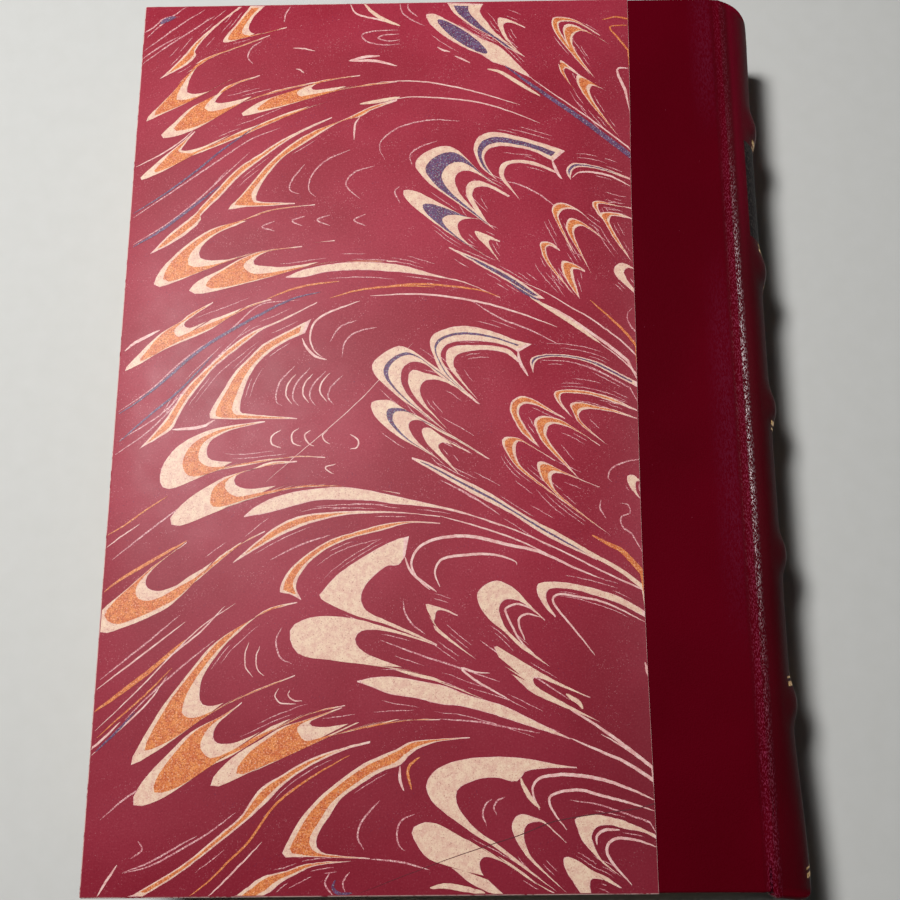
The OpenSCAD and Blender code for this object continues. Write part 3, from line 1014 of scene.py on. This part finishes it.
orange("233,562 255,543 277,526 300,516 330,512 362,511 400,512 440,516",
       "233,563 258,548 280,536 305,525 330,518 355,514 400,513 440,517")
orange("440,523 410,521 380,525 355,532 330,540 310,552 292,567 283,580 280,592 290,594 301,600",
       "440,524 410,523 380,531 355,537 330,547 312,560 300,575 296,588 301,599")
orange("187,542 155,565 137,580 120,595 92,620 103,633 125,627 145,619 165,609 180,597 192,585 220,561"
       " 240,545 265,532",
       "187,543 162,561 147,577 147,587 158,591 175,586 190,576 205,567 220,556 240,543 265,531")
orange("297,602 280,605 265,610 250,620 230,632 210,647 197,662 187,675 175,690 162,707 148,730 130,764"
       " 152,754 170,742 190,727 205,717 230,703 260,690 295,676",
       "297,603 270,610 255,618 240,631 225,645 210,665 201,682 200,700 207,706 220,704 240,696 260,688"
       " 295,675")
orange("242,702 225,714 205,724 187,735 170,752 155,767 140,785 132,802 140,806 157,801 177,789 195,775"
       " 212,765 230,757 245,747 262,737 280,727 310,714 345,706",
       "242,703 225,717 217,725 213,735 217,743 232,743 245,739 260,732 277,724 310,712 345,705")
orange("342,707 320,715 305,720 282,727 260,740 240,752 222,767 210,784 220,786 240,777 265,766 287,752"
       " 310,742 335,735 370,727 405,721 440,720",
       "342,708 320,717 310,722 312,726 325,727 340,725 370,721 405,719 440,719")
orange("127,898 155,882 185,863 220,834 240,817 250,802 262,787 280,776 300,764 320,755 345,747 370,741",
       "137,900 160,886 180,873 200,858 240,826 255,813 270,799 283,785 310,766 345,750 370,743")
orange("470,737 435,739 410,742 395,750 375,758 360,766 340,780 320,797 302,817 290,837 282,856 295,857"
       " 320,857 370,859",
       "470,738 442,741 422,747 410,755 400,765 385,770 372,777 352,790 340,800 330,815 320,830 316,842"
       " 320,851 335,855 370,858")
orange("232,899 245,889 262,877 285,871 302,865 322,862 352,861",
       "255,899 270,892 282,882 295,875 315,866 352,861")

# Loops towards the spine, from head to tail
blue("447,3 455,14 470,25 490,36 505,47", "483,4 480,12 487,22 497,34 525,57", 0.15, 0.6)
cream("525,27 510,20 498,18 500,30 508,42 525,57", "525,28 512,23 504,24 505,33 512,44 525,58")
cream("529,75 518,64 508,54 500,47 490,42 480,38 463,28 447,20 435,14 427,14",
      "529,77 514,70 505,66 493,62 480,54 467,49 447,38 433,27 427,19 426,15")
orange("600,35 575,20 555,17 552,25 560,40 590,75", "600,36 577,23 561,22 559,28 566,41 590,75")
orange("610,45 585,30 570,24 563,28 566,42 575,58 595,78", "600,38 582,31 573,36 574,48 585,65 595,78")
orange("580,75 568,65 560,60 559,68 568,82 600,115", "578,75 566,68 565,74 575,90 600,115")
orange("600,88 585,78 577,75 578,85 590,103 620,138", "605,90 592,86 591,96 605,118 620,138")
blue("565,151 545,144 520,137 495,132 480,136 474,145 475,155 482,168 497,180",
     "553,161 535,152 520,148 500,146 488,150 484,158 488,168 497,180", 0.35, 0.75)
cream("557,172 545,166 530,161 515,160 503,163 499,170 502,180 520,200",
      "555,173 540,167 520,163 508,165 504,172 506,180 520,200")
blue("500,187 480,172 460,152 447,146 432,149 420,156 415,164 419,172 430,184 460,205 495,230",
     "500,187 485,178 470,171 460,172 455,178 457,188 465,200 480,215 495,230", 0.25, 0.65)
cream("510,196 495,187 480,181 470,182 466,188 467,197 475,210 485,222",
      "508,197 490,188 478,187 473,191 474,200 487,222")
blue("485,220 465,216 445,206 430,198 415,191 403,191 407,200 420,212 440,227 455,238 490,258",
     "480,219 465,219 458,224 460,234 470,245 490,258", 0.35, 0.7)
cream("500,241 485,234 475,231 478,238 487,247 500,262", "500,242 490,240 490,246 500,262")
blue("449,247 478,259 505,272 520,281 545,299", "449,248 475,263 505,280 535,298", 0.3, 0.8)
blue("630,178 600,167 575,163 567,168 567,174 571,180",
     "630,180 605,171 585,167 574,169 571,175 571,180", 0.3, 0.7)
orange("592,222 580,211 567,204 557,203 552,208 554,217 567,242 575,255",
       "590,220 578,211 567,209 560,213 560,222 575,255")
orange("607,242 592,229 580,221 570,218 566,225 569,235 585,262 592,275",
       "607,242 592,231 582,226 575,229 576,240 592,275")
orange("560,250 552,243 541,242 541,250 548,265 575,296", "560,251 550,246 546,250 552,265 575,296")
orange("585,270 572,263 562,261 562,270 568,283 580,299", "585,272 576,269 573,273 580,299")
orange("632,208 615,205 600,201 592,203 597,213 605,222", "632,209 610,205 598,205 605,222")
orange("632,218 617,213 605,212 600,214 606,225 615,240 632,262", "632,219 615,216 610,218 612,228 632,262")
cream("634,268 622,263 614,268 617,277 634,293", "634,269 628,268 624,272 628,281 634,289")
blue("532,344 515,340 500,334 480,328 460,326 442,330 432,336 430,345 434,357 440,370 452,382 480,404",
     "518,352 507,346 490,342 467,341 450,343 442,350 441,358 447,369 458,383 480,404", 0.42, 0.58)
cream("520,361 510,350 495,346 470,345 452,347 446,354 448,366 460,381 478,400",
      "518,362 505,353 485,350 465,352 455,357 454,366 462,380 478,400")
blue("470,396 442,372 427,361 415,352 400,346 387,351 375,360 372,366 375,375 387,387 402,400 417,410"
     " 447,432",
     "470,397 440,376 425,364 412,362 403,368 401,380 406,392 420,408 447,432", 0.4, 0.56)
cream("480,404 455,385 440,377 425,373 412,370 408,380 412,392 420,403 435,417 452,434",
      "478,404 455,387 438,380 425,381 420,388 422,398 430,410 452,434")
blue("490,459 460,440 442,430 420,417 405,410 392,401 380,400 371,403 373,413 380,422 397,436 415,446"
     " 440,460",
     "488,459 458,441 440,432 422,421 411,421 409,428 416,440 428,451 440,460", 0.38, 0.54)
cream("470,452 450,442 437,433 430,428 422,429 425,440 433,450 460,475",
      "470,453 450,444 441,443 440,450 460,475")
blue("412,457 430,463 460,478 490,493 520,512 560,535 597,558",
     "412,459 445,478 475,495 510,513 550,538 597,560", 0.35, 0.6)
orange("565,418 548,408 535,400 522,396 512,401 510,410 514,420 522,433 540,448",
       "565,419 548,411 535,405 524,404 519,410 522,421 540,448")
orange("600,445 580,432 565,422 552,417 540,416 534,422 538,434 545,445 580,480",
       "600,446 582,434 565,426 552,424 547,430 550,442 580,480")
orange("555,460 530,445 518,438 505,437 502,442 506,452 515,465 530,478 575,510",
       "555,461 532,447 520,441 516,446 517,458 527,472 575,510")
orange("600,487 580,479 560,470 545,462 537,463 540,475 547,485 560,498 575,510 610,535",
       "598,487 575,478 560,473 552,475 553,485 563,498 610,535")
orange("637,410 615,399 600,394 580,390 562,390 554,393 558,403 573,418",
       "637,411 610,401 590,395 570,393 561,394 562,403 573,418")
orange("637,418 615,410 597,406 580,402 570,404 573,412 580,424 607,445",
       "637,419 612,412 590,409 580,412 582,422 607,445")
blue("637,382 610,368 595,361 575,356 555,354 540,355 530,360 533,373",
     "637,387 610,373 590,363 570,358 550,357 536,361 533,373", 0.3, 0.7)
cream("640,480 633,475 627,477 630,487 640,499", "640,481 636,482 636,490 640,498")
cream("409,536 395,540 375,550 355,562 335,577 322,592 320,598 340,609 360,617 385,624 410,634 437,645",
      "405,557 398,565 387,566 375,575 365,586 361,598 367,611 385,620 410,631 437,644")
cream("437,645 410,635 385,627 360,620 342,617 320,616 300,621 290,630 292,645 302,656 330,660 360,664"
      " 385,667 410,675 435,681 460,690 490,702",
      "437,646 410,637 385,631 365,630 356,636 357,645 367,654 385,661 410,670 435,678 490,702")
cream("357,681 375,677 397,677 420,681 445,686 465,694 485,700 505,706 525,716 570,738",
      "357,682 372,687 390,694 415,698 440,704 460,706 485,712 535,728 570,739")
cream("545,620 530,605 515,589 500,581 490,582 480,589 477,597 482,610 492,622 505,632 520,647 550,667",
      "545,621 525,604 510,599 502,602 499,609 502,620 511,634 550,667")
cream("645,611 620,597 600,590 580,585 560,582 545,582 537,585 538,595 545,607 555,617",
      "645,617 620,604 600,597 580,591 560,588 550,589 546,594 548,604 556,616")
cream("458,615 445,609 435,606 426,604 428,612 433,625 440,634 478,661",
      "457,616 445,611 437,611 435,618 438,628 478,661")
cream("590,697 560,683 540,672 520,660 505,651 494,645 498,655 505,667 517,679 530,691 545,699 600,722",
      "590,698 560,686 545,680 535,677 534,683 545,692 600,722")
cream("577,767 560,765 535,760 510,757 485,757 460,760 442,766 430,776 426,787 431,800 442,811 457,822"
      " 475,835 495,847 515,862 557,892",
      "577,768 550,768 527,771 521,778 514,782 500,778 485,778 470,782 458,789 456,798 460,810 470,823"
      " 482,834 500,846 557,892")
cream("555,893 535,882 520,870 505,860 487,850 475,844 460,836 440,825 427,822 414,827 412,834 417,845"
      " 425,856 435,862 450,867 472,884 505,900",
      "553,893 530,880 510,866 495,859 485,857 480,862 481,871 487,879 510,900")
cream("567,843 545,822 533,817 522,814 514,819 512,828 516,840 522,850 532,862 567,893",
      "565,842 545,824 535,822 527,825 524,833 526,845 534,860 567,893")
cream("657,835 632,824 622,820 600,815 585,815 575,819 577,827 582,840 592,852 605,865 622,877",
      "657,839 642,832 625,829 610,825 597,827 592,835 594,845 602,860 622,877")
cream("622,888 607,877 592,870 577,860 565,857 564,864 568,874 583,897",
      "620,888 603,880 592,879 590,886 592,897")

# Strokes by colour, each with its width in front
strokes("rose", """
1.5 136,167 160,155 180,142 193,131 / 2 360,117 355,125 354,140 / 2 350,3 357,14 380,20 393,24 / 3 349,61
365,57 380,56 / 3 349,61 375,61 397,66 / 1.5 293,48 305,49 315,51 / 1.5 296,69 300,70 304,73 / 3 125,351
135,343 160,330 / 3 172,430 200,427 215,420 / 2.5 302,338 307,348 315,356 327,360 / 1.2 106,548 122,536
140,524 / 1.2 95,731 138,690 195,632 236,603 / 1.5 296,374 288,384 286,395 292,404 / 1.5 313,374 305,383
303,394 309,403 / 1.5 330,373 322,382 320,392 327,402 / 1.5 281,430 272,436 272,444 281,448 / 1.5 299,428
292,434 293,443 301,446 / 1.5 311,430 305,435 308,443 314,446 / 1.2 328,430 323,435 324,440 330,444 / 1.5
350,434 358,440 357,447 350,449 / 1.2 336,464 326,467 328,471 334,474 / 1.2 249,642 245,655 246,668 253,677
/ 1.2 260,646 256,658 258,670 264,676 / 1.2 279,688 275,696 281,703 296,704 / 1.2 290,690 288,695 293,700
302,701 / 1.5 146,674 175,652 200,632 225,606 / 1.5 205,900 235,870 262,842 / 1.5 96,690 125,668 155,645
185,622 / 1.5 91,756 110,738 130,720 150,700 167,676 / 2 370,296 417,294 464,299 510,310 557,327 / 1.5
600,343 620,358 642,379 / 1.5 517,280 545,292 572,308 590,318 620,340 642,361 / 1.5 400,500 440,508 480,518
520,532 560,550 600,570 648,592 / 1.5 440,516 480,527 520,541 560,560 / 1.5 380,82 410,81 440,84 480,93
520,105 / 1.5 385,101 413,97 463,100 500,108 540,123 / 2 601,734 625,748 656,770 / 2 437,47 443,50 450,52 /
2 455,56 462,59 470,63 / 0.7 266,482 297,455 329,428 360,400 379,380 413,343 / 2.5 400,766 400,780 404,791 /
2 97,897 107,880 117,865 / 2 82,757 105,737 120,722 / 1.5 520,70 545,88 570,105 600,126 632,150 / 3 628,68
617,70 625,90 / 3 552,160 557,172 562,179 / 2 630,186 610,176 590,172 578,173 572,178 / 3 518,350 520,362
528,376 / 3 535,300 560,312 580,325 612,348 628,361 / 2.5 405,557 410,570 420,580 437,592 / 3 570,738
600,751 625,762 655,781 / 3 600,578 575,568 540,552 510,545 485,539 465,536 440,538 422,545 413,556 412,568
420,581 430,590 / 2.5 517,565 515,561 500,556 485,554 465,555 445,558 437,565 435,575 440,587 / 2 545,620
530,608 518,604 508,607 506,613 520,640 535,655 / 2 540,617 528,614 520,617 519,625 525,640 / 2 645,622
620,609 600,601 580,597 560,594 553,598 556,607 575,630 595,655 / 2 490,673 475,672 461,668 475,680 510,700
/ 3 655,800 625,787 600,779 575,775 555,775 540,778 533,786 534,797 540,810 / 2.5 655,811 630,803 600,795
580,790 560,792 550,797 550,805 557,817 567,830 / 2.5 620,830 605,830 597,836 597,845 / 2.5 657,847 640,841
620,838 610,842 607,850 612,862 632,885 / 3 557,700 575,712 590,721 620,742 652,767 / 3 645,662 647,670
650,677 / 2 360,301 330,312 315,322 310,337 314,350 322,357
""")
strokes("cream", """
4 364,3 372,12 385,20 400,26 / 4 530,297 555,312 575,325 600,343 / 4 360,104 380,101 400,97 / 4 487,69
500,72 520,84 540,96 / 4 530,520 545,527 560,535 590,553 620,570 643,587 / 4 521,778 524,787 532,800 540,808
/ 5 430,888 445,886 460,888 485,893 / 4 566,694 572,698 578,702 583,709
""")
strokes("orange", """
2 267,299 290,290 310,285 340,281 / 2 330,298 360,290 400,286 435,287 / 3 104,592 120,580 150,562 187,541 /
1.5 104,537 125,525 146,510 168,496 / 4 94,712 115,697 135,682 152,669 185,640 / 1.5 97,738 120,717 146,694
172,668 / 2 185,900 210,880 230,860 250,840 275,805 310,778 350,755 / 2 370,289 417,284 473,289 500,297 /
2.5 420,757 410,765 408,775 412,790 / 2 602,20 615,17 628,19 / 2 628,25 610,27 618,38 628,50 / 2.5 590,300
620,327 636,345 / 5 592,535 610,545 622,551 642,572
""")
strokes("blue", """
5 160,24 167,20 176,17 / 3 119,414 140,400 165,380 190,358 215,340 250,320 290,300 320,292 / 2 119,442
150,415 180,390 213,355 / 2 133,214 165,194 195,172 225,148 260,124 / 3 133,247 160,231 190,209 220,186 / 2
95,752 115,733 135,712 / 3 335,880 333,888 340,894 352,893 / 2.5 510,283 525,293 540,301 / 14 438,20 455,32
470,42 487,53 / 5.5 505,66 530,84 555,101 580,118 607,138 632,157
""")
strokes("pink", """
1.5 125,40 150,30 165,18 180,17 / 1.5 133,218 175,190 215,163 250,140 280,128 / 1.5 133,245 170,222 200,198
225,175 250,152 / 1.5 118,412 150,390 190,355 230,330 260,305 300,300 / 1.5 120,440 160,415 190,385 215,360
250,325 / 1.5 100,680 125,660 150,640 180,615 / 1.5 122,873 150,862 180,845 197,836 / 1.5 305,164 292,180
290,190 299,194 / 1.5 350,150 327,160 312,175 309,190 316,197 / 1.5 375,166 355,172 346,185 360,199 / 1.5
460,121 430,120 400,127 382,140 380,150 385,160 / 1.5 275,221 262,227 275,231 / 1.5 305,216 292,221 303,226
/ 1.5 330,215 317,220 330,226 / 1.5 366,214 354,220 366,226 / 1.5 357,320 340,327 330,342 / 1.5 377,327
357,332 345,342 342,357 / 1.5 295,366 280,382 276,400 282,406 / 1.5 310,368 296,384 293,398 299,406 / 1.5
326,371 313,385 310,397 316,406 / 1.5 343,375 331,387 328,397 334,405 / 1.5 282,627 276,640 280,657 292,664
/ 1.5 415,814 402,820 397,832 399,845 405,851 / 1.5 380,800 365,817 358,830 / 1.5 350,872 343,882 345,892 /
1.5 437,141 420,147 410,155 412,165 / 1.5 400,186 395,192 400,203 / 1.5 440,719 480,722 500,726 540,733 /
1.5 370,859 400,862 430,870 / 1.5 398,30 375,31 362,35 368,42 385,45 400,44 / 1.5 400,34 385,35 378,38
388,41 400,40 / 1.5 400,3 402,12 412,20 425,26 / 1.5 408,3 409,10 418,17 / 1.5 291,6 286,14 284,22 / 1.5
262,41 252,48 248,57 253,64 / 1.5 147,38 160,26 175,15 188,6 / 1.5 143,52 165,36 185,22 205,10 / 1.5 140,66
165,48 190,32 215,16 / 1.5 141,60 160,47 180,36 / 1.5 124,873 150,866 180,850 210,832 236,812 / 1.5 130,859
142,850 138,841 / 1.5 330,872 325,884 334,897 / 1.5 368,812 360,825 358,838 364,850 / 1.5 403,600 405,612
412,624 425,634 / 1.5 497,815 494,808 497,801 505,797 / 1.5 487,826 483,815 485,805 492,799 / 1.5 632,308
627,315 630,325 636,332 / 1.5 640,459 625,462 612,468 608,477 612,482 / 1.5 601,500 600,508 606,518 / 1.5
620,503 628,505 630,513 621,517 623,527 632,534 / 1.5 115,455 150,430 185,395 220,362 260,330 / 1.5 112,560
150,530 190,500 / 1.5 125,720 150,695 180,668 215,640 / 1.5 100,820 130,795 160,780 / 1.5 270,560 300,545
330,535 / 1.5 400,690 440,700 480,708 520,718 560,732 / 1.5 380,640 420,655 460,668 500,682 / 1.5 560,210
540,195 520,185 500,180 / 1.5 470,300 500,318 530,330 560,345 / 1.5 540,360 570,362 600,372 630,388 / 1.5
440,480 470,495 500,515 / 1.5 480,640 510,662 540,680 570,700 / 1.5 570,800 600,805 630,815 650,822
""")
# the crease near the tail, as a dark line of painted shade
strokes("crease", "0.9 360,893 440,862 520,835 560,820 640,808")

# How thick the colours lie, and how far short of the paper's cut edge they end
INK_THICK = 0.008
INK_SHORT = 0.12


def ink_strip(rows, height):
    """One field of colour as a strip of faces between its two edges."""

    def shape(across, along):
        at = round(along * (len(rows) - 1))
        x, y = rows[at][round(across)]
        x = min(max(x, FOLD_ROUND), PAPER_EDGE + edge_drift(y) - INK_SHORT)
        tail, head = FOLD_ROUND + slanted(x, 0), BOARD_HEIGHT - FOLD_ROUND + slanted(x, BOARD_HEIGHT)
        y = min(max(y, tail), head)
        return place(x, y, BOOK_HALF + height)

    return grid_piece("strip", 1, len(rows) - 1, shape)


def ink_piece(colour):
    """All fields of one colour as one thin layer on the paper."""
    strips = [ink_strip(rows, LAYERS[colour] + k * HAIR) for k, rows in enumerate(fields[colour])]
    piece = join(strips, f"{colour}_marbling_back")
    finish_modifier(piece, "SOLIDIFY", thickness=INK_THICK * MM, offset=-1.0)
    return piece


INKS = {"pink": PINK, "rose": ROSE, "cream": CREAM, "orange": ORANGE, "blue": BLUE, "crease": CREASE_SHADE}
for colour, material in INKS.items():
    layers = {"back": ink_piece(colour)}
    layers["front"] = other_side(layers["back"], f"{colour}_marbling_front")
    for side, piece in layers.items():
        piece.data.materials.append(material)
        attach(piece, f"{side}_cover")
        slot = "cream" if colour in ("pink", "rose", "crease") else colour
        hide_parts(f"{side}_{slot}_ink")


# ---- floor and lights ----
bpy.ops.object.select_all(action="DESELECT")
bpy.ops.mesh.primitive_plane_add(size=8, location=(0, 0, -0.0001))
floor = bpy.context.object
floor.name = "floor"
card = Finish("card", roughness=0.9, specular=0.1)
card.colour(card.blend(shade(210, 210, 207), shade(204, 204, 200), card.cloud(6.0, 3.0)))
floor.data.materials.append(card.material)


def lamp(name, spot, aim, size, power, length=None):
    """A soft lamp at a spot in metres, turned to its aim: square, or oblong if a length is given."""
    data = bpy.data.lights.new(name, "AREA")
    data.energy = power
    data.size = size
    if length:
        data.shape = "RECTANGLE"
        data.size_y = length
    made = bpy.data.objects.new(name, data)
    made.location = spot
    made.rotation_euler = (Vector(aim) - Vector(spot)).to_track_quat("-Z", "Y").to_euler()
    bpy.context.scene.collection.objects.link(made)
    return made


lamp("near_window", (-0.215, 0.145, 0.555), (0, 0, 0.03), 0.12, 1.9)
lamp("far_window", (-0.38, 0.19, 0.8), (0, 0, 0), 0.14, 4.15)
glint = lamp("glint", (0.909, 0.23, 0.555), (0.0755, 0, 0.034), 0.42, 9.0, 0.05)
glint.visible_diffuse = False
world = bpy.data.worlds.new("room")
world.use_nodes = True
world.node_tree.nodes["Background"].inputs["Color"].default_value = (0.96, 0.98, 1.0, 1.0)
world.node_tree.nodes["Background"].inputs["Strength"].default_value = 0.014
bpy.context.scene.world = world
